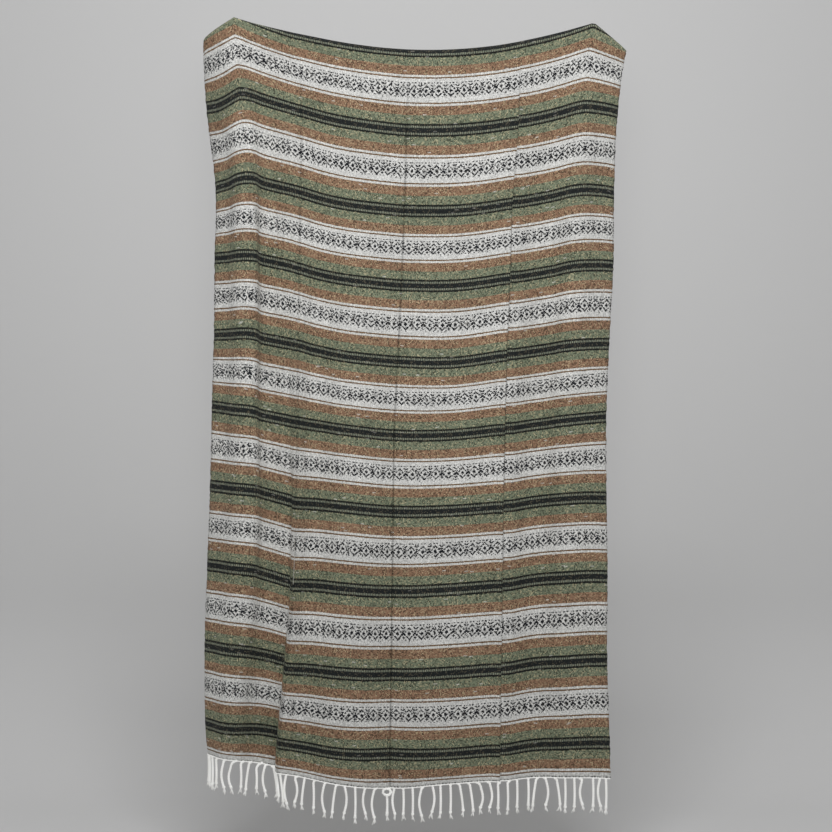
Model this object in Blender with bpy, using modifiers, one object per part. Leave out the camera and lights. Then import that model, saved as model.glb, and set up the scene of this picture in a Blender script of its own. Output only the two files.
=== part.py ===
"""A Mexican falsa blanket, held up at two points with its top edge folded over backwards.

The blanket is one woven cloth with a row of twisted cords tied along each cut end. The long fall of the
cloth hangs in front, goes over the fold at the top and ends in a short flap behind. The origin is where the
left grip carries the cloth, on the inner face of the fold. +X runs to the viewer's right, the front faces
-Y, and +Z is up.

A place on the flat cloth is given by two lengths: across, from the left selvedge, and along, down the warp
from the middle of the black stripe that lies on the fold.
"""

import math
import random
from collections import namedtuple

import bmesh
import bpy
from mathutils import Vector

MM = 0.001

# The cloth as it comes off the loom
CLOTH_WIDTH = 1.120
QUARTER = CLOTH_WIDTH / 4
WALL = 0.0024
STRIPE_REPEATS = (0.196, 0.201, 0.190, 0.185, 0.183, 0.190, 0.200, 0.207, 0.205)
END_BAND = 0.080
FRONT_HEM = sum(STRIPE_REPEATS) + END_BAND
BACK_HEM = -END_BAND

# The fold over the top
FOLD_RADIUS = 0.010
QUARTER_TURN = FOLD_RADIUS * math.pi / 2
FLAP_STANDS_OFF = 0.006

# Where each hanging line lies across the cloth
LINES = {
    "left_edge": 0.0,
    "left_shoulder": 0.072,
    "left_grip": 0.120,
    "left_pipe": 0.160,
    "left_valley": 0.250,
    "first_crease": QUARTER,
    "second_middle": 0.420,
    "centre_crease": 2 * QUARTER,
    "third_middle": 0.700,
    "last_crease": 3 * QUARTER,
    "right_grip": 1.018,
    "right_edge": CLOTH_WIDTH,
}

# How finely the wall is divided: columns between each two lines, and rows in each stretch of the warp
COLUMNS_BETWEEN_LINES = (4, 3, 2, 4, 2, 5, 4, 4, 3, 6, 4)
FLAP_ROWS = 3
TURN_ROWS = 4
FALL_ROWS = 38

# The lines that carry the cloth, and the places where it had lain folded
CREASES = ("left_edge", "first_crease", "centre_crease", "last_crease", "right_edge")
GRIPS = ("left_grip", "right_grip")
POINT_FADES_BY = 0.42
Lines = namedtuple("Lines", LINES)
Drop = namedtuple("Drop", ("section", *LINES))
Spread = namedtuple("Spread", ("section", *CREASES))
Fold = namedtuple(
    "Fold",
    "name across_top across_foot reach_left reach_right pressed at_fold at_shoulder at_middle at_foot",
)

# Where along the warp the fold lies, in millimetres from the middle of the top black stripe
FOLD_ALONG = Lines(25, 20, 14, 5, -7, -8, -9, -10, -10, -9, -2, 25)

# How far each hanging line has dropped below the left grip, in millimetres, at the fold, at each black
# stripe and at the hem
DROPS = (
    Drop("fold", 53.5, 24.5, 0, 12.5, 35, 41.5, 67, 80.5, 78.5, 60.5, 14, 81.5),
    Drop("stripe 1", 219, 215, 196, 199.5, 227, 236, 267.5, 282, 282, 263.5, 226, 234.5),
    Drop("stripe 2", 422.5, 414, 406, 410, 431.5, 439.5, 471.5, 483.5, 484.5, 466, 435, 437.5),
    Drop("stripe 3", 599.5, 599, 598, 601.5, 620.5, 629.5, 658, 669.5, 671, 652.5, 623.5, 620.5),
    Drop("stripe 4", 792.5, 792.5, 792, 799, 815.5, 821, 848.5, 860.5, 863.5, 844.5, 821, 816),
    Drop("stripe 5", 971.5, 979, 983, 990.5, 1008, 1012, 1030.5, 1044, 1043, 1028.5, 1006.5, 997.5),
    Drop("stripe 6", 1171.5, 1176, 1179, 1185, 1208, 1213, 1222.5, 1235, 1232.5, 1222, 1201.5, 1202),
    Drop("stripe 7", 1370.5, 1373.5, 1377, 1384.5, 1411.5, 1417, 1425, 1435, 1429, 1418, 1398, 1399),
    Drop("stripe 8", 1574, 1576, 1579.5, 1586, 1608.5, 1625.5, 1636, 1643, 1637, 1627, 1608.5, 1608),
    Drop("stripe 9", 1769, 1771.5, 1774.5, 1777, 1791, 1812, 1835, 1842.5, 1839, 1829, 1813, 1815.5),
    Drop("hem", 1846, 1847, 1850.5, 1856, 1874, 1885, 1910.5, 1925.5, 1912.5, 1904.5, 1896.5, 1903),
)

# How far to the right of the left grip the edges and the pressed creases hang, in millimetres
SPREADS = (
    Spread("fold", -82.5, 160.5, 435.5, 712.5, 981),
    Spread("stripe 1", -74, 168, 430.5, 710, 959),
    Spread("stripe 2", -50.5, 166, 424.5, 694.5, 950),
    Spread("stripe 3", -52.5, 163.5, 417, 688.5, 948.5),
    Spread("stripe 4", -54.5, 161, 408, 681, 938),
    Spread("stripe 5", -59.5, 158.5, 399, 676, 931),
    Spread("stripe 6", -64.5, 156, 396.5, 672, 931.5),
    Spread("stripe 7", -72, 149.5, 394, 669.5, 933.5),
    Spread("stripe 8", -79, 130.5, 391.5, 666, 932.5),
    Spread("stripe 9", -78, 111.5, 389, 663.5, 939),
    Spread("hem", -71.5, 108, 389, 663.5, 940.5),
)

# The soft folds and the pressed creases. Places and reaches are in metres across the cloth, and the depths
# towards the viewer are in millimetres, at the fold, the shoulder, the middle and the foot.
FOLD_LEVELS = (0.0, 0.42, 0.95, FRONT_HEM)
FOLDS = (
    Fold("left edge turned back", 0.0, 0.0, 0.1, 0.110, True, -58, -44, -44, -64),
    Fold("pipe under the left grip", 0.112, 0.120, 0.080, 0.078, False, 0, 30, 26, 20),
    Fold("hollow beside the pipe", 0.195, 0.200, 0.070, 0.065, False, 0, -17, -22, -16),
    Fold("valley before the first crease", 0.252, 0.252, 0.075, 0.028, True, 0, 0, -10, -30),
    Fold("first crease", QUARTER, QUARTER, 0.040, 0.060, True, 0, 5, 10, 6),
    Fold("hollow past the first crease", 0.335, 0.330, 0.055, 0.090, False, 0, -10, -19, -9),
    Fold("swell of the second quarter", 0.450, 0.450, 0.110, 0.110, False, 0, 10, 18, 14),
    Fold("centre crease", 2 * QUARTER, 2 * QUARTER, 0.090, 0.090, True, 0, -10, -14, -16),
    Fold("swell of the third quarter", 0.700, 0.700, 0.130, 0.130, False, 0, 5, 5, 7),
    Fold("last crease", 3 * QUARTER, 3 * QUARTER, 0.070, 0.070, True, 0, 8, 10, 10),
    Fold("hollow past the last crease", 0.930, 0.930, 0.080, 0.080, False, 0, -14, -26, -14),
    Fold("pipe under the right grip", 1.018, 1.018, 0.070, 0.060, False, 0, 16, 12, 5),
    Fold("right edge turned back", CLOTH_WIDTH, CLOTH_WIDTH, 0.090, 0.1, True, -10, -24, -25, -18),
)

# How a weft row is walked: steps between two columns, the least share of a step that goes sideways, and
# the distance under which two places are the same
WALK_STEPS = 6
LEAST_SIDEWAYS = 0.2
SAME_PLACE = 1e-9

# The twisted cords and the header line that carries them
SEAM = 0.0007
HEADER_HEIGHT = 0.0035
HEADER_DEPTH = 0.0032
CORD_ROOTS = (
    12, 32, 47, 67, 96, 117, 145, 173, 196, 219, 245, 266,
    287, 303, 325, 348, 370, 397, 425, 447, 472, 496, 518, 551,
    572, 595, 619, 641, 669, 689, 714, 738, 763, 790, 813, 833,
    860, 885, 914, 933, 958, 985, 1005, 1027, 1046, 1074, 1092, 1108,
)
CORD_ROOT_WIDTH = 0.0045
ROOT_TO_KINK = 0.0033
CORD_SIDE = 0.0055
CORD_TIP_SIDE = 0.0042
CORD_LENGTH = 0.084
CORD_LENGTH_CHANGE = 0.006
CORD_SEED = 7
CORD_STATIONS = (0.12, 0.55, 1.0)
LOOK_UP_THE_HEM = 0.01
LOOK_ALONG_THE_HEM = 0.002
Hang = namedtuple("Hang", "lean bow")
HANGS = {
    "s": Hang(0.000, 0.001),
    "l": Hang(-0.008, -0.001),
    "r": Hang(0.008, 0.001),
    "b": Hang(0.002, -0.006),
    "d": Hang(-0.002, 0.006),
}
FRONT_HANGS = "ssssbbslsbrrrbdlsbldsbbsbssbdssrrddssssldrssbsbs"
BACK_HANGS = "rbsdslsrsbssdslrsbsdsslsrbsdssbslrsdsbssrlsbsdss"

CLOTH_COLOUR = (0.24, 0.22, 0.17, 1)
CORD_COLOUR = (0.80, 0.80, 0.77, 1)
CLOTH_ROUGHNESS = 0.95


def clear_scene():
    """Removes whatever objects the file holds."""
    for thing in list(bpy.data.objects):
        bpy.data.objects.remove(thing, do_unlink=True)


def cloth_material(name, colour):
    """A matt woven finish in one colour."""
    material = bpy.data.materials.new(name)
    material.use_nodes = True
    shader = material.node_tree.nodes["Principled BSDF"]
    shader.inputs["Base Color"].default_value = colour
    shader.inputs["Roughness"].default_value = CLOTH_ROUGHNESS
    shader.inputs["Metallic"].default_value = 0.0
    return material


def smooth_curve(places, values, at):
    """The height at one place of a smooth curve through a few points, the same way bent to its ends."""
    last = len(places) - 1
    step = 0
    while step < last - 1 and at > places[step + 1]:
        step += 1

    def slope(point):
        if last > 1 and point in (0, last):
            inner = 1 if point == 0 else last - 1
            chord = (values[inner] - values[point]) / (places[inner] - places[point])
            return 2 * chord - slope(inner)
        before = max(point - 1, 0)
        after = min(point + 1, last)
        return (values[after] - values[before]) / (places[after] - places[before])

    span = places[step + 1] - places[step]
    part = min(max((at - places[step]) / span, 0.0), 1.0)
    rise = values[step + 1] - values[step]
    start = slope(step) * span
    end = slope(step + 1) * span
    bend = (start - rise) * (1 - part) - (end - rise) * part
    return values[step] + rise * part + part * (1 - part) * bend


def pointed_curve(places, values, corners, at):
    """The same, but with a point at each of the corners, between which it is smooth."""
    ends = [0, *[places.index(corner) for corner in corners], len(places) - 1]
    for first, last in zip(ends, ends[1:]):
        if at <= places[last]:
            break
    return smooth_curve(places[first : last + 1], values[first : last + 1], at)


def fold_place(across):
    """Where along the warp the fold lies, for one warp thread."""
    return smooth_curve(list(LINES.values()), FOLD_ALONG, across) * MM


def section_places(fold_at):
    """The places along the warp of the rows of DROPS and SPREADS."""
    stripes = [sum(STRIPE_REPEATS[: stripe + 1]) for stripe in range(len(STRIPE_REPEATS))]
    return [fold_at, *stripes, FRONT_HEM]


def near_fold(across, along):
    """1 at the fold, falling to 0 at the first black stripe below it."""
    fold_at = fold_place(across)
    return min(max((STRIPE_REPEATS[0] - along) / (STRIPE_REPEATS[0] - fold_at), 0.0), 1.0)


def read_table(table, columns, across, along):
    """The value of a table of hanging lines at one place on the fall of the cloth, in metres."""
    share = near_fold(across, along)
    values = []
    for column in columns:
        fold_at = fold_place(LINES[column])
        shifted = along + (fold_at - fold_place(across)) * share
        heights = [getattr(row, column) for row in table]
        values.append(smooth_curve(section_places(fold_at), heights, shifted))
    places = [LINES[column] for column in columns]
    smooth = smooth_curve(places, values, across)
    if not set(GRIPS) <= set(columns):
        return smooth * MM
    pointed = pointed_curve(places, values, [LINES[grip] for grip in GRIPS], across)
    point = max(1 - (along - fold_place(across)) / POINT_FADES_BY, 0.0)
    return (smooth + (pointed - smooth) * point) * MM


def towards_viewer(across, along):
    """How far the folds and creases bring one place of the cloth towards the viewer."""
    depth = 0.0
    down = min(max(along / FRONT_HEM, 0.0), 1.0)
    for fold in FOLDS:
        centre = fold.across_top + (fold.across_foot - fold.across_top) * down
        reach = fold.reach_left if across < centre else fold.reach_right
        away = min(abs(across - centre) / reach, 1.0)
        shape = (1 - away) ** 2 if fold.pressed else (1 + math.cos(math.pi * away)) / 2
        levels = (fold.at_fold, fold.at_shoulder, fold.at_middle, fold.at_foot)
        depth += shape * smooth_curve(FOLD_LEVELS, levels, along)
    return depth * MM


def mirrored(across, along):
    """The place on the front fall that a place of the flap hangs behind. A place on the fall is its own."""
    fold_at = fold_place(across)
    return fold_at + abs(along - fold_at)


def hang(across, along):
    """The depth and height of one place of the cloth: on the fall, the turn over the fold or the flap."""
    in_front = mirrored(across, along)
    from_fold = in_front - fold_place(across)
    turned = min(from_fold / FOLD_RADIUS, math.pi / 2)
    straight = max(from_fold - QUARTER_TURN, 0.0)
    dropped = FOLD_RADIUS * (1 - math.cos(turned)) + straight
    lag = (from_fold - dropped) * near_fold(across, in_front)
    height = lag - read_table(DROPS, LINES, across, in_front)
    depth = -towards_viewer(across, in_front) - FOLD_RADIUS * math.sin(turned)
    if along < fold_place(across):
        depth += 2 * FOLD_RADIUS * math.sin(turned) + FLAP_STANDS_OFF * straight / END_BAND
    return depth, height


def hang_row(places_across, along_at):
    """The points of one weft row, walked across so that each stretch takes the width its slope leaves it."""
    points = []
    for crease in range(4):
        start = crease * QUARTER
        middle = start + QUARTER / 2
        inside = [place for place in places_across if abs(place - middle) < QUARTER / 2 + SAME_PLACE]
        stops = [start]
        for place in inside:
            gap = place - stops[-1]
            if gap > SAME_PLACE:
                stops += [stops[-1] + gap * step / WALK_STEPS for step in range(1, WALK_STEPS + 1)]
        heights = [hang(stop, along_at(stop)) for stop in stops]
        walked = [0.0]
        for one, two, here, there in zip(stops, stops[1:], heights, heights[1:]):
            length = two - one
            sideways = length**2 - (there[0] - here[0]) ** 2 - (there[1] - here[1]) ** 2
            walked.append(walked[-1] + math.sqrt(max(sideways, (LEAST_SIDEWAYS * length) ** 2)))
        left, right = [
            read_table(SPREADS, CREASES, edge, mirrored(edge, along_at(edge)))
            for edge in (start, start + QUARTER)
        ]
        for stop, walk, (depth, height) in zip(stops, walked, heights):
            if any(abs(stop - place) < SAME_PLACE for place in inside):
                points.append(Vector((left + (right - left) * walk / walked[-1], depth, height)))
        if crease < 3:
            points.pop()
    return points


def grid_columns():
    """The places across the cloth of the wall's columns."""
    places = [0.0]
    lines = list(LINES.values())
    for first, last, columns in zip(lines, lines[1:], COLUMNS_BETWEEN_LINES):
        places += [first + (last - first) * column / columns for column in range(1, columns)] + [last]
    return places


def row_places():
    """For each row of the wall, a function from a place across the cloth to its place along the warp."""

    def flap_row(part):
        return lambda across: BACK_HEM + (fold_place(across) - QUARTER_TURN - BACK_HEM) * part

    def turn_row(part):
        return lambda across: fold_place(across) + QUARTER_TURN * part

    def fall_row(part):
        return lambda across: FRONT_HEM - (FRONT_HEM - fold_place(across) - QUARTER_TURN) * (1 - part)

    rows = [flap_row(row / FLAP_ROWS) for row in range(FLAP_ROWS)]
    rows += [turn_row(row / TURN_ROWS) for row in range(-TURN_ROWS, TURN_ROWS)]
    rows += [fall_row(row / FALL_ROWS) for row in range(FALL_ROWS + 1)]
    return rows


def origin_shift():
    """Moves the left grip, on the inner face of the fold, to the origin."""
    columns = grid_columns()
    grip = hang_row(columns, fold_place)[columns.index(LINES["left_grip"])]
    return Vector((0, 0, WALL / 2)) - grip


def link_object(name, mesh, material, collection):
    """Puts a mesh in the scene as a named object."""
    mesh.materials.append(material)
    thing = bpy.data.objects.new(name, mesh)
    collection.objects.link(thing)
    return thing


def make_panel(shift, material, collection):
    """The woven panel: one sheet from the flap's end over the fold and down to the hem, made thick."""
    columns = grid_columns()
    rows = row_places()
    bm = bmesh.new()
    bmesh.ops.create_grid(bm, x_segments=len(columns) - 1, y_segments=len(rows) - 1, size=1.0)
    bm.verts.ensure_lookup_table()
    for row, along_at in enumerate(rows):
        for column, point in enumerate(hang_row(columns, along_at)):
            bm.verts[row * len(columns) + column].co = point + shift
    bmesh.ops.recalc_face_normals(bm, faces=bm.faces)
    mesh = bpy.data.meshes.new("woven_panel")
    bm.to_mesh(mesh)
    bm.free()
    mesh.shade_smooth()
    panel = link_object("woven_panel", mesh, material, collection)
    solidify = panel.modifiers.new("cloth thickness", "SOLIDIFY")
    solidify.thickness = WALL
    solidify.offset = 0.0
    solidify.use_even_offset = True


def hem_line(along, shift):
    """The cut end of the wall as a line of points, and the way the cloth runs down to each of them."""
    columns = grid_columns()
    away = math.copysign(LOOK_UP_THE_HEM, along)
    ends = hang_row(columns, lambda across: along)
    above = hang_row(columns, lambda across: along - away)
    return columns, [end + shift for end in ends], [(end - up).normalized() for end, up in zip(ends, above)]


def along_line(columns, points, across):
    """The point of a line at one place across the cloth."""
    step = 0
    while step < len(columns) - 2 and across > columns[step + 1]:
        step += 1
    part = (across - columns[step]) / (columns[step + 1] - columns[step])
    return points[step].lerp(points[step + 1], part)


def cord_roots(columns):
    """The places of the cords across the cloth, each moved clear of the wall's columns."""
    roots = []
    for place in CORD_ROOTS:
        root = place * MM
        kink = min(columns, key=lambda column: abs(column - root))
        if abs(root - kink) < ROOT_TO_KINK:
            root = kink + math.copysign(ROOT_TO_KINK, root - kink)
        roots.append(root)
    return roots


def make_fringe(name, along, hangs, seed, shift, material, collection):
    """The header line under one cut end, with its twisted cords, as one solid."""
    draw = random.Random(seed)
    columns, ends, downs = hem_line(along, shift)
    roots = cord_roots(columns)
    sides = [root + CORD_ROOT_WIDTH / 2 * side for root in roots for side in (-1, 1)]
    edges = sorted({*columns, *sides})

    bm = bmesh.new()
    bmesh.ops.create_grid(bm, x_segments=len(edges) - 1, y_segments=1, size=1.0)
    grown = bmesh.ops.extrude_face_region(bm, geom=bm.faces[:])["geom"]
    tops = {piece for piece in grown if isinstance(piece, bmesh.types.BMVert)}
    undersides = [face for face in bm.faces if not tops & set(face.verts)]
    undersides.sort(key=lambda face: face.calc_center_median().x)
    cord_faces = [face for face, edge in zip(undersides, edges) if edge in sides[::2]]
    for vert in bm.verts:
        edge = edges[round((vert.co.x + 1) / 2 * (len(edges) - 1))]
        end = along_line(columns, ends, edge)
        ahead = along_line(columns, ends, min(edge + LOOK_ALONG_THE_HEM, CLOTH_WIDTH))
        behind = along_line(columns, ends, max(edge - LOOK_ALONG_THE_HEM, 0.0))
        sideways = (ahead - behind).normalized()
        through = sideways.cross(along_line(columns, downs, edge)).normalized()
        outwards = through.cross(sideways)
        below = SEAM if vert in tops else SEAM + HEADER_HEIGHT
        side = -1 if vert.co.y < 0 else 1
        vert.co = end + outwards * below + through * side * HEADER_DEPTH / 2
    for face, style in zip(cord_faces, hangs):
        grow_cord(bm, face, HANGS[style], draw)
    mesh = bpy.data.meshes.new(name)
    bm.to_mesh(mesh)
    bm.free()
    return link_object(name, mesh, material, collection)


def grow_cord(bm, face, style, draw):
    """Draws one cord down out of a face of the header, in the way it hangs."""
    length = CORD_LENGTH + draw.uniform(-1, 1) * CORD_LENGTH_CHANGE
    root = face.calc_center_median()
    for station in CORD_STATIONS:
        face = bmesh.ops.extrude_discrete_faces(bm, faces=[face])["faces"][0]
        sideways = style.lean * station + style.bow * math.sin(math.pi * station)
        centre = root + Vector((sideways, 0, -length * station))
        side = CORD_SIDE if station < 1 else CORD_TIP_SIDE
        here = face.calc_center_median()
        for vert in face.verts:
            arm = vert.co - here
            arm.z = 0
            vert.co = centre + arm.normalized() * side * math.sqrt(0.5)


def build():
    """Builds the blanket."""
    clear_scene()
    collection = bpy.data.collections.new("mexican blanket")
    bpy.context.scene.collection.children.link(collection)
    cloth = cloth_material("woven cloth", CLOTH_COLOUR)
    cord = cloth_material("white warp", CORD_COLOUR)
    shift = origin_shift()
    make_panel(shift, cloth, collection)
    make_fringe("fringe_front", FRONT_HEM, FRONT_HANGS, CORD_SEED, shift, cord, collection)
    make_fringe("fringe_back", BACK_HEM, BACK_HANGS, CORD_SEED + 1, shift, cord, collection)


build()
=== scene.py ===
"""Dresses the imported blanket: the woven cloth, its selvedges, its twisted header lines and its fringes."""

import math
import random
from collections import namedtuple

import bpy
import numpy as np
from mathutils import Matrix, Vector, noise


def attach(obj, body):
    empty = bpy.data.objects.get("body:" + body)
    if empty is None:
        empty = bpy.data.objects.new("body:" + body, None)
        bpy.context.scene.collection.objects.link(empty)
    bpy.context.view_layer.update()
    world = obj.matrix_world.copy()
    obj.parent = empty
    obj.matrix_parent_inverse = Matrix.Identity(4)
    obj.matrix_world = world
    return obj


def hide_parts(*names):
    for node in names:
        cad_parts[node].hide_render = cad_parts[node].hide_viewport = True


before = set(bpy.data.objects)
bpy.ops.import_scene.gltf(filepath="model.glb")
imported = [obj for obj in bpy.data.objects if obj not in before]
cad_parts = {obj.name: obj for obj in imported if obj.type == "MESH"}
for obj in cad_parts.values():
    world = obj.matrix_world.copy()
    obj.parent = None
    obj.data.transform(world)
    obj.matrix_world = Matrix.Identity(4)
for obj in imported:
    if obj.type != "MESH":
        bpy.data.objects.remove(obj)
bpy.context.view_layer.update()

# The woven cloth. The real one is a single length of recycled wool and acrylic yarn in a loose plain
# weave, 1.12 m between its selvedges. It is folded over at the top and held at two points, so it hangs in
# soft pipes from both, with the sharp lines in it along which it had lain folded.
MM = 0.001
CLOTH_WIDTH = 1.120
QUARTER = CLOTH_WIDTH / 4
WALL = 0.0022
STRIPE_REPEATS = (0.196, 0.201, 0.190, 0.185, 0.183, 0.190, 0.200, 0.207, 0.205)
MEAN_REPEAT = 0.1955
END_BAND = 0.080
FRONT_HEM = sum(STRIPE_REPEATS) + END_BAND
BACK_HEM = -END_BAND
FOLD_RADIUS = 0.010
QUARTER_TURN = FOLD_RADIUS * math.pi / 2
FLAP_STANDS_OFF = 0.006
LINES = {
    "left_edge": 0.0,
    "left_shoulder": 0.072,
    "left_grip": 0.120,
    "left_pipe": 0.160,
    "left_valley": 0.250,
    "first_crease": QUARTER,
    "second_middle": 0.420,
    "centre_crease": 2 * QUARTER,
    "third_middle": 0.700,
    "last_crease": 3 * QUARTER,
    "right_grip": 1.018,
    "right_edge": CLOTH_WIDTH,
}
CREASES = ("left_edge", "first_crease", "centre_crease", "last_crease", "right_edge")
GRIPS = ("left_grip", "right_grip")
POINT_FADES_BY = 0.42
FOLD_ALONG = (25, 20, 14, 5, -7, -8, -9, -10, -10, -9, -2, 25)
Drop = namedtuple("Drop", ("section", *LINES))
Spread = namedtuple("Spread", ("section", *CREASES))
Fold = namedtuple(
    "Fold",
    "name across_top across_foot reach_left reach_right pressed at_fold at_shoulder at_middle at_foot",
)
Crease = namedtuple("Crease", "name across half_width at_fold at_shoulder at_middle at_foot slip dark")

# How far each hanging line has dropped below the left grip, and how far right of it the creases hang, in mm
DROPS = (
    Drop("fold", 53.5, 24.5, 0, 12.5, 35, 41.5, 67, 80.5, 78.5, 60.5, 14, 81.5),
    Drop("stripe 1", 219, 215, 196, 199.5, 227, 236, 267.5, 282, 282, 263.5, 226, 234.5),
    Drop("stripe 2", 422.5, 414, 406, 410, 431.5, 439.5, 471.5, 483.5, 484.5, 466, 435, 437.5),
    Drop("stripe 3", 599.5, 599, 598, 601.5, 620.5, 629.5, 658, 669.5, 671, 652.5, 623.5, 620.5),
    Drop("stripe 4", 792.5, 792.5, 792, 799, 815.5, 821, 848.5, 860.5, 863.5, 844.5, 821, 816),
    Drop("stripe 5", 971.5, 979, 983, 990.5, 1008, 1012, 1030.5, 1044, 1043, 1028.5, 1006.5, 997.5),
    Drop("stripe 6", 1171.5, 1176, 1179, 1185, 1208, 1213, 1222.5, 1235, 1232.5, 1222, 1201.5, 1202),
    Drop("stripe 7", 1370.5, 1373.5, 1377, 1384.5, 1411.5, 1417, 1425, 1435, 1429, 1418, 1398, 1399),
    Drop("stripe 8", 1574, 1576, 1579.5, 1586, 1608.5, 1625.5, 1636, 1643, 1637, 1627, 1608.5, 1608),
    Drop("stripe 9", 1769, 1771.5, 1774.5, 1777, 1791, 1812, 1835, 1842.5, 1839, 1829, 1813, 1815.5),
    Drop("hem", 1846, 1847, 1850.5, 1856, 1874, 1885, 1910.5, 1925.5, 1912.5, 1904.5, 1896.5, 1903),
)
SPREADS = (
    Spread("fold", -82.5, 160.5, 435.5, 712.5, 981),
    Spread("stripe 1", -74, 168, 430.5, 710, 959),
    Spread("stripe 2", -50.5, 166, 424.5, 694.5, 950),
    Spread("stripe 3", -52.5, 163.5, 417, 688.5, 948.5),
    Spread("stripe 4", -54.5, 161, 408, 681, 938),
    Spread("stripe 5", -59.5, 158.5, 399, 676, 931),
    Spread("stripe 6", -64.5, 156, 396.5, 672, 931.5),
    Spread("stripe 7", -72, 149.5, 394, 669.5, 933.5),
    Spread("stripe 8", -79, 130.5, 391.5, 666, 932.5),
    Spread("stripe 9", -78, 111.5, 389, 663.5, 939),
    Spread("hem", -71.5, 108, 389, 663.5, 940.5),
)

# The soft folds: places and reaches across the cloth in metres, depths towards the viewer in mm
FOLD_LEVELS = (0.0, 0.42, 0.95, FRONT_HEM)
FOLDS = (
    Fold("left edge turned back", 0.0, 0.0, 0.1, 0.110, True, -58, -44, -44, -64),
    Fold("pipe under the left grip", 0.112, 0.120, 0.080, 0.078, False, 0, 30, 26, 20),
    Fold("hollow beside the pipe", 0.195, 0.200, 0.070, 0.065, False, 0, -17, -22, -16),
    Fold("valley before the first crease", 0.252, 0.252, 0.075, 0.028, True, 0, 0, -10, -30),
    Fold("first crease", QUARTER, QUARTER, 0.040, 0.060, True, 0, 5, 10, 6),
    Fold("hollow past the first crease", 0.335, 0.330, 0.055, 0.090, False, 0, -10, -19, -9),
    Fold("swell of the second quarter", 0.450, 0.450, 0.110, 0.110, False, 0, 10, 18, 14),
    Fold("centre crease", 2 * QUARTER, 2 * QUARTER, 0.090, 0.090, True, 0, -10, -14, -16),
    Fold("swell of the third quarter", 0.700, 0.700, 0.130, 0.130, False, 0, 5, 5, 7),
    Fold("last crease", 3 * QUARTER, 3 * QUARTER, 0.070, 0.070, True, 0, 8, 10, 10),
    Fold("hollow past the last crease", 0.930, 0.930, 0.080, 0.080, False, 0, -14, -26, -14),
    Fold("pipe under the right grip", 1.018, 1.018, 0.070, 0.060, False, 0, 16, 12, 5),
    Fold("right edge turned back", CLOTH_WIDTH, CLOTH_WIDTH, 0.090, 0.1, True, -10, -24, -25, -18),
)

# The sharp lines in which the cloth had lain folded, in mm towards the viewer. Along the last one the picks
# have slipped past each other by 2 mm. Each has a share of painted shade by which its line is darker.
PRESSED_LINES = (
    Crease("first", QUARTER, 0.006, 0.0, 0.6, 1.2, 1.2, 0.0, 0.30),
    Crease("centre", 2 * QUARTER, 0.007, -0.3, -1.1, -1.2, -1.1, 0.3, 0.54),
    Crease("last", 3 * QUARTER, 0.006, -0.3, -1.1, -1.2, -1.0, 2.0, 0.42),
)

# The mesh of the cloth, finest along the pressed lines and over the fold
COLUMNS = 148
FLAP_ROWS = 12
TURN_ROWS = 6
FALL_ROWS = 266
BESIDE_A_LINE = (0.0014, 0.0030, 0.0052)
CLEAR_OF_A_LINE = 1.4 * BESIDE_A_LINE[-1]
SAME_PLACE = 1e-9
LEAST_SIDEWAYS = 0.12
SLIP_REACH = 0.030
RIPPLE = 0.0011
RIPPLE_ACROSS = 22
RIPPLE_ALONG = 9
EDGE_JITTER = 0.0010
EDGE_SEED = 11


def smooth_curve(places, values, at):
    """A smooth curve through a few points. Its values are numbers or one array for each place."""
    places = np.asarray(places, float)
    values = np.asarray([np.broadcast_to(value, at.shape) for value in values], float)
    last = len(places) - 1
    slopes = np.empty_like(values)
    chords = np.diff(values, axis=0) / np.diff(places)[:, None]
    if last == 1:
        slopes[:] = chords[0]
    else:
        slopes[1:-1] = (values[2:] - values[:-2]) / (places[2:] - places[:-2])[:, None]
        slopes[0] = 2 * chords[0] - slopes[1]
        slopes[-1] = 2 * chords[-1] - slopes[-2]
    step = np.searchsorted(places[1:-1], at, side="left")
    here = np.arange(at.size)
    span = places[step + 1] - places[step]
    part = np.clip((at - places[step]) / span, 0.0, 1.0)
    rise = values[step + 1, here] - values[step, here]
    start = slopes[step, here] * span
    end = slopes[step + 1, here] * span
    bend = (start - rise) * (1 - part) - (end - rise) * part
    return values[step, here] + rise * part + part * (1 - part) * bend


def pointed_curve(places, values, corners, at):
    """The same, but with a point at each of the corners, between which it is smooth."""
    ends = [0, *[places.index(corner) for corner in corners], len(places) - 1]
    result = np.zeros_like(at)
    for first, last in zip(ends, ends[1:]):
        within = (at > places[first]) | (first == 0)
        stretch = smooth_curve(places[first : last + 1], values[first : last + 1], at)
        result = np.where(within, stretch, result)
    return result


def fold_place(across):
    """Where along the warp the fold lies."""
    return smooth_curve(list(LINES.values()), FOLD_ALONG, across) * MM


def near_fold(across, along):
    """1 at the fold, falling to 0 at the first black stripe below it."""
    fold_at = fold_place(across)
    return np.clip((STRIPE_REPEATS[0] - along) / (STRIPE_REPEATS[0] - fold_at), 0.0, 1.0)


def read_table(table, columns, across, along):
    """The value of a table of hanging lines on the fall of the cloth, in metres."""
    share = near_fold(across, along)
    stripes = np.cumsum(STRIPE_REPEATS)
    values = []
    for column in columns:
        fold_at = float(fold_place(np.array([LINES[column]]))[0])
        shifted = along + (fold_at - fold_place(across)) * share
        heights = [getattr(row, column) for row in table]
        values.append(smooth_curve([fold_at, *stripes, FRONT_HEM], heights, shifted))
    places = [LINES[column] for column in columns]
    smooth = smooth_curve(places, values, across)
    if not set(GRIPS) <= set(columns):
        return smooth * MM
    pointed = pointed_curve(places, values, [LINES[grip] for grip in GRIPS], across)
    point = np.maximum(1 - (along - fold_place(across)) / POINT_FADES_BY, 0.0)
    return (smooth + (pointed - smooth) * point) * MM


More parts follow.
